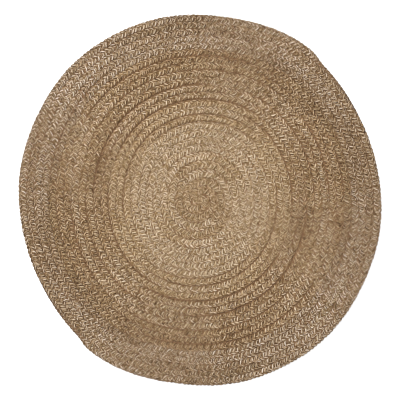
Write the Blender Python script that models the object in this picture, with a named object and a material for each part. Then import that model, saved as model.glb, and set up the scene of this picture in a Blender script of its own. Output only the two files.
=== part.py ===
"""Round braided jute rug: two flat plaits wound side by side from the centre and sewn into one mat.

Metres, +Z up. The rug lies flat on the ground plane, with its origin at the centre of its underside.
Seen from above, both plaits run outwards clockwise, and they end half a turn apart in a long taper.
"""
import math
from collections import namedtuple

import bmesh
import bpy

Wave = namedtuple("Wave", "per_turn height phase_deg")

# Driving dimensions
PLAIT_WIDTH = 0.02486        # one row of the flat three-strand plait
PLAIT_COUNT = 2              # plaits that run out side by side
ROWS_AT_END = 25             # rows from the centre to the rim, where a plait starts to taper
THICKNESS = 0.0110           # floor to the crown of a row
SEAM_DEPTH = 0.0036          # how far the sewn seam between two rows lies below their crowns
END_ANGLE_DEG = 53.6         # counter-clockwise from +X to where the first plait starts to taper

# A plait's end narrows fast at first, where its strands are cut, and then runs out in a thin tail.
BLUNT_SHARE = 0.47           # share of the width lost in the fast stretch
BLUNT_LENGTH = 0.070
TAIL_START = 0.042
TAIL_LENGTH = 0.307

# The handmade outline wanders in slow waves, which die out towards the centre.
RIM_WAVES = (
    Wave(per_turn=2, height=0.0058, phase_deg=110),
    Wave(per_turn=4, height=0.0017, phase_deg=172),
    Wave(per_turn=6, height=0.0018, phase_deg=9),
    Wave(per_turn=8, height=0.0005, phase_deg=-103),
    Wave(per_turn=10, height=0.0014, phase_deg=95),
)

# Section of the rounded rim
SHOULDER_IN = 0.0035         # shoulder, in from the widest line
SHOULDER_DROP = 0.0028       # shoulder, below the crown
EDGE_HEIGHT = 0.0048         # widest line, above the floor
FOOT_IN = 0.0040             # where the rim leaves the floor, in from the widest line

# Fineness of the mesh
COLUMNS = 90                 # sections round the rug, an even number
LINES_PER_ROW = 2            # one line in the seam and one on the crown
RIM_ROWS = 0.22              # a line nearer the rim than this, in rows, gives way to the shoulder
CORE_ROWS = 0.9              # inside this, in rows, the start of the coil is one level crown

# Natural jute
JUTE_COLOR = (0.342, 0.231, 0.138, 1.0)
JUTE_ROUGHNESS = 0.9

TURN = 2 * math.pi
END_ANGLE = math.radians(END_ANGLE_DEG)
RIM_RADIUS = ROWS_AT_END * PLAIT_WIDTH


def clear_scene():
    for old in list(bpy.data.objects):
        bpy.data.objects.remove(old, do_unlink=True)


def ease(share):
    """Goes from 0 to 1 with a level start and a level end."""
    share = min(1.0, max(0.0, share))
    return share * share * (3 - 2 * share)


def width_lost(length):
    """Share of a plait's width that is gone at this length past the start of its taper."""
    blunt = ease(length / BLUNT_LENGTH)
    tail = ease((length - TAIL_START) / TAIL_LENGTH)
    return BLUNT_SHARE * blunt + (1 - BLUNT_SHARE) * tail


def rim_rows(clockwise):
    """Rows from the centre to the rim, at this clockwise angle past the first plait's end."""
    since_end = clockwise % (TURN / PLAIT_COUNT)
    wound = PLAIT_COUNT * since_end / TURN
    return ROWS_AT_END + wound - width_lost(since_end * RIM_RADIUS)


def place(rows, clockwise, inset=0.0):
    """X and Y of a point this many rows out, moved in by a few millimetres where asked."""
    angle = END_ANGLE - clockwise
    wander = sum(wave.height * math.cos(wave.per_turn * angle + math.radians(wave.phase_deg))
                 for wave in RIM_WAVES)
    radius = rows * PLAIT_WIDTH - inset
    radius += wander * (rows / ROWS_AT_END) ** 3
    return radius * math.cos(angle), radius * math.sin(angle)


def crown_height(rows_left):
    """Height of a crown with this many rows between it and the rim: a tapered row is lower."""
    fullness = ease(2 * rows_left)
    return THICKNESS - SEAM_DEPTH * (1 - fullness)


def seam_height(rows):
    """Height of a seam this many rows out: the seams sink in over the first row past the core."""
    return THICKNESS - SEAM_DEPTH * ease(rows - CORE_ROWS)


def on_seam(number):
    return number % LINES_PER_ROW == 0


def build_column(mesh, clockwise):
    """One section from the core to the rim: spiral lines by number, then shoulder, edge and foot."""
    rim = rim_rows(clockwise)
    wound = PLAIT_COUNT * clockwise / TURN
    first = math.ceil((CORE_ROWS - wound) * LINES_PER_ROW)
    last = math.floor((rim - RIM_ROWS - wound) * LINES_PER_ROW)
    lines = {}
    for number in range(first, last + 1):
        rows = number / LINES_PER_ROW + wound
        height = seam_height(rows) if on_seam(number) else crown_height(rim - rows)
        lines[number] = mesh.verts.new((*place(rows, clockwise), height))
    shoulder = mesh.verts.new((*place(rim, clockwise, SHOULDER_IN), THICKNESS - SHOULDER_DROP))
    edge = mesh.verts.new((*place(rim, clockwise), EDGE_HEIGHT))
    foot = mesh.verts.new((*place(rim, clockwise, FOOT_IN), 0.0))
    return lines, (shoulder, edge, foot)


def join_columns(mesh, column, following, centre):
    """Faces between two neighbouring sections, where a line may end at the core or at the rim."""
    lines, rim = column
    next_lines, next_rim = following
    low = max(min(lines), min(next_lines))
    high = min(max(lines), max(next_lines))
    core = [lines[number] for number in sorted(lines) if number <= low]
    next_core = [next_lines[number] for number in sorted(next_lines) if number <= low]
    mesh.faces.new([centre] + next_core + core[::-1])
    for number in range(low, high):
        mesh.faces.new((lines[number], next_lines[number],
                        next_lines[number + 1], lines[number + 1]))
    outer = [lines[number] for number in sorted(lines) if number >= high] + [rim[0]]
    next_outer = [next_lines[number] for number in sorted(next_lines) if number >= high]
    mesh.faces.new(next_outer + [next_rim[0]] + outer[::-1])
    for upper, lower in ((0, 1), (1, 2)):
        mesh.faces.new((rim[upper], next_rim[upper], next_rim[lower], rim[lower]))


def crease_seams(mesh, columns):
    """Marks the edges that run along a seam as sharp, so that each row is shaded as a round rib."""
    seams = {vert for lines, _rim in columns for number, vert in lines.items() if on_seam(number)}
    for edge in mesh.edges:
        if seams.issuperset(edge.verts):
            edge.smooth = False


def build_rug_mesh():
    mesh = bmesh.new()
    centre = mesh.verts.new((0.0, 0.0, THICKNESS))
    columns = [build_column(mesh, TURN * index / COLUMNS) for index in range(COLUMNS)]
    lines_per_turn = PLAIT_COUNT * LINES_PER_ROW
    first_lines, first_rim = columns[0]
    closing = {number - lines_per_turn: vert for number, vert in first_lines.items()}
    columns.append((closing, first_rim))
    for column, following in zip(columns, columns[1:]):
        join_columns(mesh, column, following, centre)
    mesh.faces.new([rim[-1] for _lines, rim in columns[:-1]])
    crease_seams(mesh, columns)
    bmesh.ops.recalc_face_normals(mesh, faces=mesh.faces)
    bmesh.ops.triangulate(mesh, faces=mesh.faces)
    return mesh


def jute_material():
    material = bpy.data.materials.new("jute")
    material.use_nodes = True
    shader = material.node_tree.nodes["Principled BSDF"]
    shader.inputs["Base Color"].default_value = JUTE_COLOR
    shader.inputs["Roughness"].default_value = JUTE_ROUGHNESS
    shader.inputs["Metallic"].default_value = 0.0
    return material


def build_rug():
    mesh = build_rug_mesh()
    data = bpy.data.meshes.new("braided_mat")
    mesh.to_mesh(data)
    mesh.free()
    data.polygons.foreach_set("use_smooth", [True] * len(data.polygons))
    data.materials.append(jute_material())
    rug = bpy.data.objects.new("braided_mat", data)
    bpy.context.scene.collection.objects.link(rug)
    return rug


clear_scene()
build_rug()
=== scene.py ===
# Round rug of braided jute: two flat three-strand plaits wound side by side and sewn edge to edge.
# Every strand is modelled. The sheet of sewing in the seams holds them together; its dark colour is partly
# painted shade in the gaps between the rows.
import math
import bpy
import numpy as np
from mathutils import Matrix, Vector


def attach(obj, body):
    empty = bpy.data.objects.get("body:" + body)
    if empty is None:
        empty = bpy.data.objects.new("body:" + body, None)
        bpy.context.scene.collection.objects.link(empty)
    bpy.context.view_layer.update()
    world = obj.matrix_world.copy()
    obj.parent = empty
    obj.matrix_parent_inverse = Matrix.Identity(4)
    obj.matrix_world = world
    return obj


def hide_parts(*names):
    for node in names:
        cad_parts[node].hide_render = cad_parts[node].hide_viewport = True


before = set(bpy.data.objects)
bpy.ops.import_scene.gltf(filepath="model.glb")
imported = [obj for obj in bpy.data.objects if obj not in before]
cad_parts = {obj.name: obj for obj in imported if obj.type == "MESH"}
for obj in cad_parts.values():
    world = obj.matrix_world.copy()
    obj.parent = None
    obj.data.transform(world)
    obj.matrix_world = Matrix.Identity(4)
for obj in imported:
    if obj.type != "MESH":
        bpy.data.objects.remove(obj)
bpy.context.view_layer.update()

# Sizes that the mat's solid is built from, in metres
mat = dict(
    plaitWidth=0.02486,      # one row
    plaits=2,                # plaits that run out side by side
    rowsAtEnd=25,            # rows from the centre to where a plait starts to taper
    thickness=0.0110,
    endAngleDeg=53.6,        # counter-clockwise from +X to the first plait's taper
    bluntShare=0.47,         # share of the width lost where the strands are cut
    bluntLength=0.070,
    tailStart=0.042,
    tailLength=0.307,
    # Slow waves in the outline: how many, height, phase in degrees. They come from a program's
    # Fourier analysis of the photo's outline.
    rimWaves=(
        (2, 0.0058, 110),
        (4, 0.0017, 172),
        (6, 0.0018, 9),
        (8, 0.0005, -103),
        (10, 0.0014, 95),
    ),
)
rimRadius = mat["rowsAtEnd"] * mat["plaitWidth"]
endAngle = math.radians(mat["endAngleDeg"])
windEnd = (mat["rowsAtEnd"] - 0.5) * math.pi      # how far a plait winds before its taper, in radians
taperLength = mat["tailStart"] + mat["tailLength"]


def hexToLinear(code):
    channels = [int(code[place:place + 2], 16) / 255 for place in (1, 3, 5)]
    return [c / 12.92 if c <= 0.04045 else ((c + 0.055) / 1.055) ** 2.4 for c in channels]


def ease(share):
    share = np.clip(share, 0.0, 1.0)
    return share * share * (3 - 2 * share)


def widthLost(length):
    # share of a plait's width that is gone at this length past the start of its taper
    blunt = ease(length / mat["bluntLength"])
    tail = ease((length - mat["tailStart"]) / mat["tailLength"])
    return mat["bluntShare"] * blunt + (1 - mat["bluntShare"]) * tail


def drift(length, amount, seed):
    # slow hand-made unevenness: up to this much each way, changing over this length
    most, step = amount
    knots = np.random.default_rng(seed).uniform(-1, 1, int(length.max() / step) + 3)
    place = np.clip(length / step, 0, None)
    knot = place.astype(int)
    share = ease(place - knot)
    return most * (knots[knot] * (1 - share) + knots[knot + 1] * share)


def wander(waves, angle):
    # how far a hand-laid line strays from a circle
    return sum(height * np.cos(count * angle + math.radians(phase)) for count, height, phase in waves)


def tubeFaces(count, sides):
    # quads between the rings of a closed tube, and a fan over each end
    ring = np.arange(count - 1)[:, None] * sides
    side = np.arange(sides)
    following = (side + 1) % sides
    quads = np.stack([ring + side, ring + following, ring + sides + following, ring + sides + side], 2)
    faces = [tuple(face) for face in quads.reshape(-1, 4).tolist()]
    neighbours = list(zip(side.tolist(), following.tolist()))
    hub = count * sides
    lastRing = hub - sides
    faces += [(hub, after, this) for this, after in neighbours]
    faces += [(hub + 1, lastRing + this, lastRing + after) for this, after in neighbours]
    return faces


def addPiece(name, points, faces, material):
    data = bpy.data.meshes.new(name)
    data.from_pydata(points, [], faces)
    data.polygons.foreach_set("use_smooth", [True] * len(data.polygons))
    data.materials.append(material)
    piece = bpy.data.objects.new(name, data)
    bpy.context.scene.collection.objects.link(piece)
    return piece


def newMaterial(name):
    made = bpy.data.materials.new(name)
    made.use_nodes = True
    made.node_tree.nodes.clear()
    return made


def addNode(tree, kind, settings=None, **inputs):
    # in0, in1 and so on are inputs by number, and a node given as a value means its first output
    node = tree.nodes.new(kind)
    for name, value in (settings or {}).items():
        setattr(node, name, value)
    for name, value in inputs.items():
        key = int(name[2:]) if name.startswith("in") and name[2:].isdigit() else name.replace("_", " ")
        if isinstance(value, bpy.types.Node):
            value = value.outputs[0]
        if isinstance(value, bpy.types.NodeSocket):
            tree.links.new(value, node.inputs[key])
        else:
            node.inputs[key].default_value = value
    return node


# The flat plait: how its strands cross, and how its rows lie. Lengths in metres.
plait = dict(
    strands=3,
    weave=0.0412,            # length in which a strand crosses over and back, three lobes of 13.7 mm
    sway=0.0100,             # how far a strand's middle swings to each side
    lift=0.0025,             # and up and down
    strandWidth=0.0100,
    strandThickness=0.0062,
    fullness=0.85,           # of a strand's section: 1 is an oval, lower is squarer
    snap=-0.08,              # below 0 a strand crosses over on a straighter slant than a plain wave
    hold=1.3,                # how long a strand stays on top before it dives
    roll=0.35,               # radians that a strand leans over at the plait's edge
    squeeze=0.30,            # share by which it is narrower and taller in the turn there
    offCentre=0.16,          # the plait's middle seam lies this share of the sway further out
    tilt=0.09,               # radians that each row leans on the one inside it
    sides=8,
    stepsPerWeave=16,
    bunching=0.35,           # share by which the steps are shorter round the loops
    # the hand's unevenness: how much, and the length over which it changes
    pitchDrift=(0.9, 0.31),          # radians by which the whole plait runs ahead or behind
    pitchStir=(0.55, 0.07),
    strandStir=(0.30, 0.025),        # and one strand on its own
    widthDrift=(0.10, 0.013),        # as a share of the strand's width and thickness
    sideDrift=(0.0006, 0.013),
    heightDrift=(0.0008, 0.013),
    driftSeed=7,
    stirSeed=17,
    # The rows inside lie more oval than the rim: how many waves, height, phase in degrees. A program
    # fitted these to the photo's rows.
    rowWaves=(
        (2, 0.0093, -159),
        (4, 0.0015, 180),
    ),
    rowShift=0.0105,         # and a little further out
    calmRows=8,              # both die out over the last rows before the rim
    pressedInside=0.75,      # share of the lift left in the rows inside, which are pressed flatter
    widerInside=1.07,        # and their strands broader
    pressedTo=5.0,           # turns up to which the rows are pressed, and from which they aren't
    plumpFrom=7.5,
    # where a seam gapes
    gapePull=0.0017,         # how far its loops are pulled in and down
    gapeDrop=0.0028,
    gapeEase=0.03,           # turns over which it opens
    # Where a row's outer seam gapes: from and to, in turns, and how much. The turns come from the
    # dark runs that a measuring program found in the photo, merged and widened a little.
    gapingSeams=(
        (3.43, 3.51, 0.4), (3.92, 4.01, 0.4), (4.14, 4.38, 0.2), (4.52, 4.78, 0.6), (4.85, 5.27, 0.8),
        (5.48, 5.58, 0.5), (5.71, 5.93, 0.8), (5.98, 6.25, 1.2), (6.45, 6.70, 0.4), (6.90, 7.17, 1.1),
        (7.21, 7.41, 0.6), (8.02, 8.27, 0.5), (8.28, 8.40, 0.9), (8.57, 8.64, 0.6), (8.70, 8.77, 0.5),
        (8.99, 9.23, 0.8), (9.33, 9.41, 0.5), (9.91, 10.07, 0.4),
    ),
    # start and end
    coreFrom=1.5,            # rows that keep the tight start's own shape
    coreRows=6,              # rows over which it eases into an even coil
    coreTurns=3,             # the middle line has so many points up to this turn
    corePoints=3000,
    outerPoints=26000,       # and so many beyond it
    tailTrim=0.012,          # length at the tail's tip that is too thin to lay
    tailWidth=0.05,          # shares of a strand's width and thickness that are left at the tip
    tailThickness=0.45,
    tailHeight=0.3,          # and of its height that doesn't sink as it thins
)

# loops press this far into the next row
loopPress = plait["sway"] + plait["strandWidth"] / 2 * (1 - plait["squeeze"]) - mat["plaitWidth"] / 2
rowWidth = mat["plaitWidth"] - loopPress / mat["rowsAtEnd"]


def strayed(rows, angle):
    # how far from its even place a row lies, this many rows out
    atRim = (rows / mat["rowsAtEnd"]) ** 3
    inside = np.clip((mat["rowsAtEnd"] - rows) / plait["calmRows"], 0, 1)
    inside = inside * np.clip(rows / plait["coreRows"], 0, 1)
    ownWander = wander(plait["rowWaves"], angle) + plait["rowShift"]
    return wander(mat["rimWaves"], angle) * atRim + ownWander * inside


def plaitLine(plaitNumber):
    # the middle line of one plait, closely spaced: its points, outward normals and what tapers
    coreWind = 2 * math.pi * plait["coreTurns"]
    wind = np.concatenate([
        np.linspace(0.0, coreWind, plait["corePoints"], endpoint=False),
        np.linspace(coreWind, windEnd + taperLength / rimRadius, plait["outerPoints"]),
    ])
    start = endAngle + windEnd + plaitNumber * math.pi
    angle = start - wind
    outward = np.stack([np.cos(angle), np.sin(angle)], 1)
    lost = widthLost((wind - windEnd) * rimRadius)
    rows = wind / math.pi - 0.5 * lost
    even = (rows * rowWidth)[:, None] * outward
    # the start is an S of half circles, each one row wider than the one before
    half = np.floor(wind / math.pi)
    axis = np.array([math.cos(start), math.sin(start)])
    centre = np.where(half % 2 == 0, -0.5, 0.5)[:, None] * rowWidth * axis
    arcs = centre + ((half + 0.5) * rowWidth)[:, None] * outward
    share = ease((rows - plait["coreFrom"]) / plait["coreRows"])[:, None]
    point = arcs * (1 - share) + even * share + strayed(rows, angle)[:, None] * outward
    along = np.gradient(point, axis=0)
    along /= np.linalg.norm(along, axis=1)[:, None]
    normal = np.stack([-along[:, 1], along[:, 0]], 1)
    stepLength = np.linalg.norm(np.diff(point, axis=0), axis=1)
    length = np.concatenate([[0.0], np.cumsum(stepLength)])
    # rows that stray apart leave room for a wider plait
    spread = 1 + (strayed(rows + 0.5, angle) - strayed(rows - 0.5, angle)) / rowWidth
    return dict(wind=wind, point=point, normal=normal, length=length, full=1 - lost, spread=spread)


def followLine(line, length):
    # the plait's line read at these lengths
    def read(values):
        if values.ndim == 1:
            return np.interp(length, line["length"], values)
        return np.stack([np.interp(length, line["length"], column) for column in values.T], 1)
    return {name: read(values) for name, values in line.items()}


def seamGape(wind):
    # 1 where the seam outside this place of a plait gapes, 0 where it is drawn tight
    turns = wind / (2 * math.pi)
    gape = np.zeros_like(turns)
    for start, end, most in plait["gapingSeams"]:
        opened = ease((turns - start) / plait["gapeEase"]) * ease((end - turns) / plait["gapeEase"])
        gape = np.maximum(gape, most * opened)
    return gape


def plumpness(wind):
    # 0 in the pressed rows inside, 1 in the plumper rows outside
    return ease((wind / (2 * math.pi) - plait["pressedTo"]) / (plait["plumpFrom"] - plait["pressedTo"]))


def strandSeed(plaitNumber, strand):
    # each strand draws its own unevenness, from this number on
    return 100 * plaitNumber + 10 * strand


def strandSteps(line, plaitNumber, strand):
    # lengths along the plait at which a strand is drawn, and how far round its weave it is there
    step = plait["weave"] / plait["stepsPerWeave"]
    even = np.arange(0.0, line["length"][-1] - plait["tailTrim"], step)
    ahead = 2 * math.pi * strand / plait["strands"]
    ahead = ahead + drift(even, plait["pitchDrift"], plait["driftSeed"] + plaitNumber)
    ahead = ahead + drift(even, plait["pitchStir"], plait["stirSeed"] + plaitNumber)
    ahead = ahead + drift(even, plait["strandStir"], strandSeed(plaitNumber, strand) + 1)
    evenTurn = 2 * math.pi * even / plait["weave"] + ahead
    bunched = plait["bunching"] * plait["weave"] / (4 * math.pi) * np.sin(2 * evenTurn)
    length = np.clip(even + bunched, 0, None)
    return length, 2 * math.pi * length / plait["weave"] + ahead


def strandPath(line, plaitNumber, strand):
    # one strand of the plait from the centre to its tail: where it runs, how wide, how thick
    seed = strandSeed(plaitNumber, strand)
    length, turn = strandSteps(line, plaitNumber, strand)
    at = followLine(line, length)
    snap = plait["snap"]
    swing = (np.sin(turn) + snap * np.sin(3 * turn)) / (1 - snap)      # -1 inner edge, 1 outer edge
    rise = np.tanh(-plait["hold"] * np.sin(2 * turn)) / math.tanh(plait["hold"])
    slim = np.clip(at["full"], plait["tailWidth"], 1)
    thin = plait["tailThickness"] + (1 - plait["tailThickness"]) * at["full"]
    settled = plait["tailHeight"] + (1 - plait["tailHeight"]) * thin
    plump = plumpness(at["wind"])
    lift = plait["lift"] * (plait["pressedInside"] + (1 - plait["pressedInside"]) * plump)
    broad = plait["strandWidth"] * (plait["widerInside"] + (1 - plait["widerInside"]) * plump)

    gape = seamGape(at["wind"]) * np.clip(swing, 0, 1) ** 2
    gape = gape + seamGape(at["wind"] - math.pi) * np.clip(-swing, 0, 1) ** 2
    across = plait["sway"] * (swing + plait["offCentre"] * (1 - swing ** 2)) * slim * at["spread"]
    across = across + drift(length, plait["sideDrift"], seed + 2) * slim
    across = across - plait["gapePull"] * gape * np.sign(swing)
    height = mat["thickness"] / 2 * settled + lift * rise * thin
    height = height - plait["tilt"] * across - plait["gapeDrop"] * gape
    height = height + drift(length, plait["heightDrift"], seed + 3)
    place = np.column_stack([at["point"] + at["normal"] * across[:, None], height])

    turned = plait["squeeze"] * swing ** 4
    wide = broad / 2 * (1 - turned) * slim * (1 + drift(length, plait["widthDrift"], seed + 4))
    thick = plait["strandThickness"] / 2 * (1 + turned) * thin
    thick = thick * (1 + drift(length, plait["widthDrift"], seed + 5))
    return dict(length=length, place=place, normal=at["normal"], wide=wide, thick=thick,
                lean=plait["roll"] * swing * rise, wind=at["wind"], swing=swing,
                seed=seed, shadeSeed=strandSeed(0, strand))


def sectionRings(path):
    # rings of points round the strand, a flattened bundle that leans over with the plait's edge
    along = np.gradient(path["place"], axis=0)
    along /= np.linalg.norm(along, axis=1)[:, None]
    upward = np.column_stack([path["normal"] * np.sin(path["lean"])[:, None], np.cos(path["lean"])])
    side = np.cross(upward, along)
    side /= np.linalg.norm(side, axis=1)[:, None]
    top = np.cross(along, side)
    rings = []
    for corner in range(plait["sides"]):
        angle = 2 * math.pi * (corner + 0.5) / plait["sides"]
        sideShare = math.copysign(abs(math.cos(angle)) ** plait["fullness"], math.cos(angle))
        topShare = math.copysign(abs(math.sin(angle)) ** plait["fullness"], math.sin(angle))
        rings.append(path["place"] + side * (sideShare * path["wide"])[:, None]
                     + top * (topShare * path["thick"])[:, None])
    rings = np.stack(rings, 1)
    rings[:, :, 2] = np.maximum(rings[:, :, 2], 0.0)      # the underside lies flat on the floor
    return rings


# The jute's own colours, and where along the plaits they change
jute = dict(
    straw="#CDBCA5",
    pale="#C7B39B",
    tan="#BFAB92",
    fawn="#B8A285",
    brown="#B19A7D",
    dark="#A69072",
    # From this many turns out, the jute is this shade. A fitting program set the shades, from the
    # photo's tone along the plaits. They weren't chosen by hand.
    stretches=(
        (0.00, "brown"), (1.52, "tan"), (1.92, "brown"), (2.12, "fawn"), (2.35, "pale"),
        (2.70, "fawn"), (2.82, "tan"), (4.75, "fawn"), (4.90, "brown"), (5.15, "fawn"),
        (5.60, "tan"), (5.75, "fawn"), (6.30, "brown"), (6.48, "tan"), (6.82, "brown"),
        (6.98, "pale"), (7.07, "tan"), (7.22, "pale"), (7.32, "fawn"), (7.64, "tan"),
        (7.78, "brown"), (7.85, "fawn"), (8.05, "tan"), (8.42, "pale"), (8.54, "fawn"),
        (8.74, "brown"), (8.92, "tan"), (9.08, "brown"), (9.48, "tan"), (9.56, "brown"),
        (9.78, "dark"), (9.90, "brown"), (9.97, "tan"), (10.18, "brown"), (10.40, "tan"),
        (10.80, "brown"), (10.89, "tan"), (10.98, "straw"), (11.06, "pale"), (11.11, "brown"),
        (11.20, "tan"), (11.33, "brown"), (11.50, "pale"), (11.58, "dark"), (11.64, "fawn"),
        (11.89, "tan"), (12.12, "brown"), (12.16, "tan"),
    ),
    change=0.03,             # turns over which one jute takes over from the next
    changeDrift=(0.03, 0.4),         # turns by which a strand changes early or late, over this length
    evenInside=0.73,         # contrast of the fibres: the first jute is combed more evenly than the last
    evenOutside=1.0,
    greyFrom=9.9,            # turns from which the jute is a greyer one
    grey=(0.97, 1.0, 1.10),  # what that does to red, green and blue
    rimShade=0.85,           # the outer loops along the rim are darker, by this factor
    rimDarkFrom=1.0625,       # from this many rows before the taper, and coming in over this many
    rimDarkEase=0.125,
    shadeLiftInside=0.3,          # the painted crevice shade is lighter in the pressed rows inside, whose crevices are shallower
    lobePatches=(0.08, 0.013),       # how much lighter or darker, from one lobe to the next
    strandPatches=(0.07, 0.11),      # and in longer patches
)


def strandTint(path):
    # the jute's colour along a strand, and as a fourth column the contrast of its fibres
    turns = path["wind"] / (2 * math.pi)
    turns = turns + drift(path["length"], jute["changeDrift"], path["shadeSeed"] + 6)
    knots = []
    before = jute["stretches"][0][1]
    for start, shade in jute["stretches"]:
        knots.append((start - jute["change"] / 2, *hexToLinear(jute[before])))
        knots.append((start + jute["change"] / 2, *hexToLinear(jute[shade])))
        before = shade
    at, *channels = np.array(knots).T
    tint = np.stack([np.interp(turns, at, channel) for channel in channels], 1)
    greyShare = ease((turns - jute["greyFrom"]) / jute["change"])[:, None]
    tint = tint * (1 + greyShare * (np.array(jute["grey"]) - 1))
    shade = 1 + drift(path["length"], jute["lobePatches"], path["shadeSeed"] + 7)
    shade = shade * (1 + drift(path["length"], jute["strandPatches"], path["shadeSeed"] + 8))
    # the outer loops along the rim are made darker
    rowsPastTaper = (path["wind"] - windEnd) / math.pi
    rimDarkening = ease((rowsPastTaper + jute["rimDarkFrom"]) / jute["rimDarkEase"]) * ease(2 * path["swing"])
    shade = shade * (1 - (1 - jute["rimShade"]) * rimDarkening)
    contrast = jute["evenInside"] + (jute["evenOutside"] - jute["evenInside"]) * plumpness(path["wind"])
    return np.column_stack([tint * shade[:, None], contrast])


# Retted jute, combed and loosely twisted into strands: dry, matt, in long pale and dark fibres.
combedJute = dict(
    roughnessPale=0.80,      # dry fibre, a little smoother where it is pale
    roughnessDark=0.94,
    roughnessFrom=0.3,
    roughnessTo=0.7,
    ior=1.5,
    sheen=0.03,
    yarns=4,                 # yarns that show round a strand
    twist=0.055,             # length in which they turn once round it
    wobble=0.4,              # turns by which the twist tightens and slackens
    wobbleLength=0.025,
    yarnDepth=0.0011,
    yarnRoundness=0.5,       # the lower, the broader the yarns and the thinner the grooves
    # painted shade in the grooves between yarns, and a slight painted lightening on the yarns' backs
    grooveDark=0.17,
    groovePale=1.05,
    fibreWidth=0.0013,       # real fibres are 0.1 mm: drawn coarser, so that the streaks show
    fibreLength=0.014,
    fibreDetail=3.0,
    fibreDepth=0.0004,
    fibreFrom=0.32,
    fibreTo=0.68,
    fibreDark=0.46,
    fibrePale=1.26,
    tuftWidth=0.0032,        # paler and darker tufts of fibre
    tuftLength=0.0055,
    tuftDetail=0.0,
    tuftFrom=0.32,
    tuftTo=0.52,
    tuftDark=0.20,
    tuftPale=1.15,
    branching=0.6,           # how much the finer streaks count
    toneByChannel=(0.78, 1.0, 1.50),  # dark fibre is browner, pale fibre greyer
    creviceShadeTint=(0.63, 0.45, 0.26),      # painted shade: what is left of each colour in the crevices
    layShift=17.3,           # metres between one strand's pattern and the next one's
)


def strandCoordinates(tree):
    # a turn round the strand that winds with its twist, and the same as a place on a tube
    lay = addNode(tree, "ShaderNodeUVMap", {"uv_map": "strandLay"})
    split = addNode(tree, "ShaderNodeSeparateXYZ", in0=lay)
    along, aroundShare = split.outputs[0], split.outputs[1]
    wobble = addNode(tree, "ShaderNodeTexNoise", {"noise_dimensions": "1D"}, W=along,
                     Scale=1 / combedJute["wobbleLength"], Detail=1.0)
    wound = addNode(tree, "ShaderNodeMath", {"operation": "MULTIPLY_ADD"}, in0=along,
                    in1=1 / combedJute["twist"], in2=aroundShare)
    loosened = addNode(tree, "ShaderNodeMath", {"operation": "MULTIPLY_ADD"}, in0=wobble,
                       in1=combedJute["wobble"], in2=wound)
    around = addNode(tree, "ShaderNodeMath", {"operation": "MULTIPLY"}, in0=loosened, in1=2 * math.pi)
    cosine = addNode(tree, "ShaderNodeMath", {"operation": "COSINE"}, in0=around)
    sine = addNode(tree, "ShaderNodeMath", {"operation": "SINE"}, in0=around)
    return around, addNode(tree, "ShaderNodeCombineXYZ", in0=cosine, in1=sine, in2=along)


def streaks(tree, tube, name):
    # noise drawn out along the strand, for the fibres or the tufts
    fine = plait["strandWidth"] / 2 / combedJute[name + "Width"]
    place = addNode(tree, "ShaderNodeVectorMath", {"operation": "MULTIPLY"}, in0=tube,
                    in1=(fine, fine, 1 / combedJute[name + "Length"]))
    return addNode(tree, "ShaderNodeTexNoise", in0=place, Scale=1.0,
                   Detail=combedJute[name + "Detail"], Roughness=combedJute["branching"])


def yarnRidges(tree, around):
    # 1 on a yarn's back, 0 in the hollow between two, for the bump and for the painted shade there
    turned = addNode(tree, "ShaderNodeMath", {"operation": "MULTIPLY"}, in0=around,
                     in1=float(combedJute["yarns"]))
    wave = addNode(tree, "ShaderNodeMath", {"operation": "SINE"}, in0=turned)
    raised = addNode(tree, "ShaderNodeMapRange", in0=wave, in1=-1.0, in2=1.0)
    return addNode(tree, "ShaderNodeMath", {"operation": "POWER"}, in0=raised,
                   in1=combedJute["yarnRoundness"])


def juteTone(tree, fibres, tufts, yarns):
    # how pale the jute is: fibres, tufts and the painted shade in the grooves between yarns, one on the
    # other
    tone = None
    for name, reading, low, high in (
            ("fibre", fibres, combedJute["fibreFrom"], combedJute["fibreTo"]),
            ("tuft", tufts, combedJute["tuftFrom"], combedJute["tuftTo"]),
            ("groove", yarns, 0.0, 1.0)):
        part = addNode(tree, "ShaderNodeMapRange", in0=reading, in1=low, in2=high,
                       in3=combedJute[name + "Dark"], in4=combedJute[name + "Pale"])
        if tone:
            part = addNode(tree, "ShaderNodeMath", {"operation": "MULTIPLY"}, in0=tone, in1=part)
        tone = part
    return tone


def juteColour(tree, tone):
    # the batch's own colour, toned by its fibres, with painted shade in the crevices
    batch = addNode(tree, "ShaderNodeAttribute", {"attribute_name": "juteTint"})
    openToLightMask = addNode(tree, "ShaderNodeAttribute", {"attribute_name": "openToLight"})
    combed = addNode(tree, "ShaderNodeMath", {"operation": "POWER"}, in0=tone, in1=batch.outputs["Alpha"])
    red, green, blue = [addNode(tree, "ShaderNodeMath", {"operation": "POWER"}, in0=combed, in1=power)
                        for power in combedJute["toneByChannel"]]
    toned = addNode(tree, "ShaderNodeCombineXYZ", in0=red, in1=green, in2=blue)
    dyed = addNode(tree, "ShaderNodeVectorMath", {"operation": "MULTIPLY"}, in0=batch, in1=toned)
    # inputs 6 and 7 of a mix are its two colours, and output 2 is the mixed one
    # painted shade: darker and browner towards the crevices
    paintedCreviceShade = addNode(tree, "ShaderNodeMix", {"data_type": "RGBA"}, Factor=openToLightMask.outputs["Fac"],
                      in6=(*combedJute["creviceShadeTint"], 1), in7=(1, 1, 1, 1))
    return addNode(tree, "ShaderNodeVectorMath", {"operation": "MULTIPLY"}, in0=dyed,
                   in1=paintedCreviceShade.outputs[2])


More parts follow.
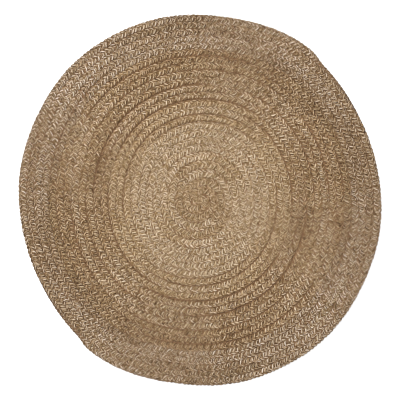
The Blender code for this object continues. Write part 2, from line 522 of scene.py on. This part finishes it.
def combedJuteMaterial():
    made = newMaterial("combedJute")
    tree = made.node_tree
    around, tube = strandCoordinates(tree)
    fibres = streaks(tree, tube, "fibre")
    tufts = streaks(tree, tube, "tuft")
    yarns = yarnRidges(tree, around)
    colour = juteColour(tree, juteTone(tree, fibres, tufts, yarns))
    relief = addNode(tree, "ShaderNodeMath", {"operation": "MULTIPLY"}, in0=yarns,
                     in1=combedJute["yarnDepth"])
    relief = addNode(tree, "ShaderNodeMath", {"operation": "MULTIPLY_ADD"}, in0=fibres,
                     in1=combedJute["fibreDepth"], in2=relief)
    bump = addNode(tree, "ShaderNodeBump", Height=relief, Strength=1.0, Distance=1.0)
    rough = addNode(tree, "ShaderNodeMapRange", in0=fibres,
                    in1=combedJute["roughnessFrom"], in2=combedJute["roughnessTo"],
                    in3=combedJute["roughnessDark"], in4=combedJute["roughnessPale"])
    surface = addNode(tree, "ShaderNodeBsdfPrincipled", Base_Color=colour, Roughness=rough,
                      IOR=combedJute["ior"], Normal=bump, Sheen_Weight=combedJute["sheen"])
    addNode(tree, "ShaderNodeOutputMaterial", Surface=surface)
    return made


# The map that the looks are baked to: a strand cut into lengths that lie side by side
bakeStrips = dict(
    strips=25,               # the last one holds the round caps of the two ends
    endGap=0.004,            # left empty at a strip's ends, as a share of its length
    sideGap=0.04,            # and at its sides, as a share of its height
    capPlaces=(0.25, 0.75),
    capRadius=0.4,
)


def cornerMap(left, right, low, high):
    # where the four corners of each face between two rings lie in a map
    left, right, low, high = np.broadcast_arrays(left[:, None], right[:, None], low, high)
    corners = ((left, low), (left, high), (right, high), (right, low))
    return np.stack([np.stack(corner, -1) for corner in corners], 2).reshape(-1, 2)


def layMap(length, sides, seed):
    # along the strand in metres, and once round it
    length = length + combedJute["layShift"] * (seed / 10 + 1)
    low = np.arange(sides) / sides
    lay = cornerMap(length[:-1], length[1:], low, low + 1 / sides)
    return np.concatenate([lay, np.tile(lay[0], (sides * 6, 1))])


def bakeMap(count, sides):
    strips = bakeStrips["strips"]
    perStrip = math.ceil((count - 1) / (strips - 1))
    index = np.arange(count - 1)
    strip = index // perStrip
    within = index - strip * perStrip
    usedLength = 1 - 2 * bakeStrips["endGap"]
    usedHeight = 1 - 2 * bakeStrips["sideGap"]
    left = bakeStrips["endGap"] + usedLength * within / perStrip
    right = bakeStrips["endGap"] + usedLength * (within + 1) / perStrip
    foot = strip[:, None] + bakeStrips["sideGap"]
    low = (foot + usedHeight * np.arange(sides) / sides) / strips
    high = (foot + usedHeight * (np.arange(sides) + 1) / sides) / strips
    angle = 2 * math.pi * np.arange(sides + 1) / sides
    rim = bakeStrips["capRadius"] / strips * np.stack([np.cos(angle), np.sin(angle)], 1)
    firstHub, lastHub = [np.array([spot, (strips - 0.5) / strips]) for spot in bakeStrips["capPlaces"]]
    caps = []
    for corner in range(sides):
        caps += [firstHub, firstHub + rim[corner + 1], firstHub + rim[corner]]
    for corner in range(sides):
        caps += [lastHub, lastHub + rim[corner], lastHub + rim[corner + 1]]
    return np.concatenate([cornerMap(left, right, low, high), caps])


def addMap(data, name, places):
    layer = data.uv_layers.new(name=name)
    layer.data.foreach_set("uv", places.astype(np.float32).ravel())


def openToLight(heights, wind, sides):
    # 1 on the strands' backs, 0 half way down, where the crevices are: the mask of their painted shade
    middle = mat["thickness"] / 2
    pressed = 1 - plumpness(wind)
    pressed = np.concatenate([np.repeat(pressed, sides), pressed[[0, -1]]])
    return np.clip(np.abs(heights - middle) / middle + jute["shadeLiftInside"] * pressed, 0, 1)


def strandPiece(name, path, first, last, material):
    # one stretch of a strand as a closed mesh, with its maps and its colours
    stretch = slice(first, last + 1)
    rings = sectionRings(path)[stretch]
    count, sides = rings.shape[:2]
    points = np.concatenate([rings.reshape(-1, 3), path["place"][[first, last]]])
    piece = addPiece(name, points.tolist(), tubeFaces(count, sides), material)
    data = piece.data
    addMap(data, "strandLay", layMap(path["length"][stretch], sides, path["seed"]))
    addMap(data, "OFBake", bakeMap(count, sides))
    tint = strandTint(path)[stretch]
    colours = np.concatenate([np.repeat(tint, sides, 0), tint[[0, -1]]]).astype(np.float32)
    data.attributes.new("juteTint", "FLOAT_COLOR", "POINT").data.foreach_set("color", colours.ravel())
    # how open to light each point is, for the painted crevice shade
    opened = openToLight(points[:, 2], path["wind"][stretch], sides).astype(np.float32)
    data.attributes.new("openToLight", "FLOAT", "POINT").data.foreach_set("value", opened)
    return piece


# Two-ply jute sewing twine and the crushed fibre round it: dull and uneven, and dark partly as painted
# shade in the gaps between the rows.
seams = dict(
    low=0.0020,              # the sewing lies between these heights
    high=0.0066,
    gapingHigh=0.0028,       # and sinks to this one where a seam gapes
    gapeCore=0.15,           # rows from a gaping seam where it lies lowest, and where it is up again
    gapeReach=0.40,
    rimInset=0.0062,
    rings=80,
    columns=180,
    fibreSize=0.006,         # clumps of crushed fibre
    fibreDetail=6.0,
    tangle=2.5,
    branching=0.7,
    fibreDepth=0.0008,
    # the dark end is partly the twine's own colour and partly painted shade in the gaps
    dark="#4F3925",
    darkTo=0.35,
    pale="#94704E",
    paleFrom=0.65,
    roughnessDark=0.86,
    roughnessPale=1.0,
)


def sewnTwineAndGapShadeMaterial():
    made = newMaterial("sewnTwineAndGapShade")
    tree = made.node_tree
    place = addNode(tree, "ShaderNodeTexCoord")
    fibres = addNode(tree, "ShaderNodeTexNoise", in0=place.outputs["Object"], Scale=1 / seams["fibreSize"],
                     Detail=seams["fibreDetail"], Roughness=seams["branching"], Distortion=seams["tangle"])
    colour = addNode(tree, "ShaderNodeValToRGB", in0=fibres)
    stops = ((seams["darkTo"], seams["dark"]), (seams["paleFrom"], seams["pale"]))
    for stop, (position, shade) in zip(colour.color_ramp.elements, stops):
        stop.position = position
        stop.color = (*hexToLinear(shade), 1)
    rough = addNode(tree, "ShaderNodeMapRange", in0=fibres, in1=0.0, in2=1.0,
                    in3=seams["roughnessDark"], in4=seams["roughnessPale"])
    relief = addNode(tree, "ShaderNodeMath", {"operation": "MULTIPLY"}, in0=fibres, in1=seams["fibreDepth"])
    bump = addNode(tree, "ShaderNodeBump", Height=relief, Strength=1.0, Distance=1.0)
    surface = addNode(tree, "ShaderNodeBsdfPrincipled", Base_Color=colour, Roughness=rough, Normal=bump)
    addNode(tree, "ShaderNodeOutputMaterial", Surface=surface)
    return made


def rimRows(clockwise):
    # rows from the centre to the rim, at this clockwise angle past the first plait's taper
    sinceEnd = clockwise % (2 * math.pi / mat["plaits"])
    wound = mat["plaits"] * sinceEnd / (2 * math.pi)
    return mat["rowsAtEnd"] + wound - widthLost(sinceEnd * rimRadius)


def sewingHeight(rows, angle):
    # top of the sewing this many rows out: lower in the seams that gape
    first = endAngle + windEnd - angle
    evenRows = rows * mat["plaitWidth"] / rowWidth - strayed(rows, angle) / rowWidth
    halfTurns = np.round(evenRows - 0.5 - first / math.pi)
    wind = first + math.pi * halfTurns              # of the plait just inside the nearest seam
    away = np.abs(evenRows - 0.5 - wind / math.pi)
    nearness = ease((seams["gapeReach"] - away) / (seams["gapeReach"] - seams["gapeCore"]))
    return seams["high"] - (seams["high"] - seams["gapingHigh"]) * nearness * seamGape(wind)


def seamSheet(material):
    # the sewing between the rows, as one thin sheet under the strands' backs, dark partly as painted shade
    # in the gaps
    around, rings = seams["columns"], seams["rings"]
    clockwise = np.arange(around) * 2 * math.pi / around
    angle = endAngle - clockwise
    share = np.arange(1, rings + 1)[:, None] / rings
    rows = rimRows(clockwise) * share
    radius = rows * mat["plaitWidth"] - seams["rimInset"] * share
    radius = radius + wander(mat["rimWaves"], angle) * (rows / mat["rowsAtEnd"]) ** 3
    height = sewingHeight(rows, angle)
    top = np.stack([radius * np.cos(angle), radius * np.sin(angle), height], 2).reshape(-1, 3)
    underRim = top[-around:] * (1, 1, 0) + (0, 0, seams["low"])
    hubs = [[0, 0, seams["high"]], [0, 0, seams["low"]]]
    points = np.concatenate([top, underRim, hubs])
    return addPiece("seamSewingAndGapShade", points.tolist(), tubeFaces(rings + 1, around), material)


strandMaterial = combedJuteMaterial()
strandPieces = []
for plaitNumber in range(mat["plaits"]):
    letter = "AB"[plaitNumber]
    line = plaitLine(plaitNumber)
    for strand in range(plait["strands"]):
        path = strandPath(line, plaitNumber, strand)
        last = len(path["length"]) - 1
        half = last // 2
        for part, first, end in (("inner", 0, half), ("outer", half, last)):
            name = f"strand_{letter}{strand + 1}_{part}"
            strandPieces.append(strandPiece(name, path, first, end, strandMaterial))
    print("plait", letter, "braided,", round(line["length"][-1], 2), "m")

sewing = seamSheet(sewnTwineAndGapShadeMaterial())
print("seams sewn")

for piece in strandPieces + [sewing]:
    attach(piece, "root")
    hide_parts("braided_mat")

# A wide matt white floor, a white sky and one big soft lamp
studio = dict(
    floorColour="#FFFFFF",
    floorRoughness=0.95,
    floorSize=40.0,
    floorDrop=0.0002,        # so that the floor and the rug's underside don't share a plane
    skyStrength=0.98,
    keyPower=322,
    keySize=4.5,
    keyPlace=(-2.4, 2.6, 5.6),
    lensMm=85,
    sensorMm=36,
    frameWidth=1.3256,       # what the picture spans at the rug
    pixelFilter=1.1,         # in pixels: the narrower, the crisper the picture
)


def addFloor():
    made = newMaterial("mattWhiteFloor")
    tree = made.node_tree
    surface = addNode(tree, "ShaderNodeBsdfPrincipled", Base_Color=(*hexToLinear(studio["floorColour"]), 1),
                      Roughness=studio["floorRoughness"])
    addNode(tree, "ShaderNodeOutputMaterial", Surface=surface)
    reach = studio["floorSize"] / 2
    corners = [(-reach, -reach, 0), (reach, -reach, 0), (reach, reach, 0), (-reach, reach, 0)]
    floor = addPiece("floor", corners, [(0, 1, 2, 3)], made)
    floor.location.z = -studio["floorDrop"]


def addLights():
    sky = bpy.data.worlds.new("studio")
    sky.use_nodes = True
    background = sky.node_tree.nodes["Background"]
    background.inputs["Color"].default_value = (1, 1, 1, 1)
    background.inputs["Strength"].default_value = studio["skyStrength"]
    bpy.context.scene.world = sky
    lamp = bpy.data.lights.new("key", "AREA")
    lamp.energy = studio["keyPower"]
    lamp.size = studio["keySize"]
    key = bpy.data.objects.new("key", lamp)
    key.location = studio["keyPlace"]
    key.rotation_euler = (-Vector(studio["keyPlace"])).to_track_quat("-Z", "Y").to_euler()
    bpy.context.scene.collection.objects.link(key)


def addCamera():
    # straight above the rug
    lens = bpy.data.cameras.new("camera")
    lens.lens = studio["lensMm"]
    lens.sensor_width = studio["sensorMm"]
    camera = bpy.data.objects.new("camera", lens)
    distance = studio["frameWidth"] * studio["lensMm"] / studio["sensorMm"]
    camera.location = (0, 0, mat["thickness"] + distance)
    bpy.context.scene.collection.objects.link(camera)
    bpy.context.scene.camera = camera


addFloor()
addLights()
addCamera()
bpy.context.scene.view_settings.view_transform = "Standard"
bpy.context.scene.cycles.filter_width = studio["pixelFilter"]
print("studio set")
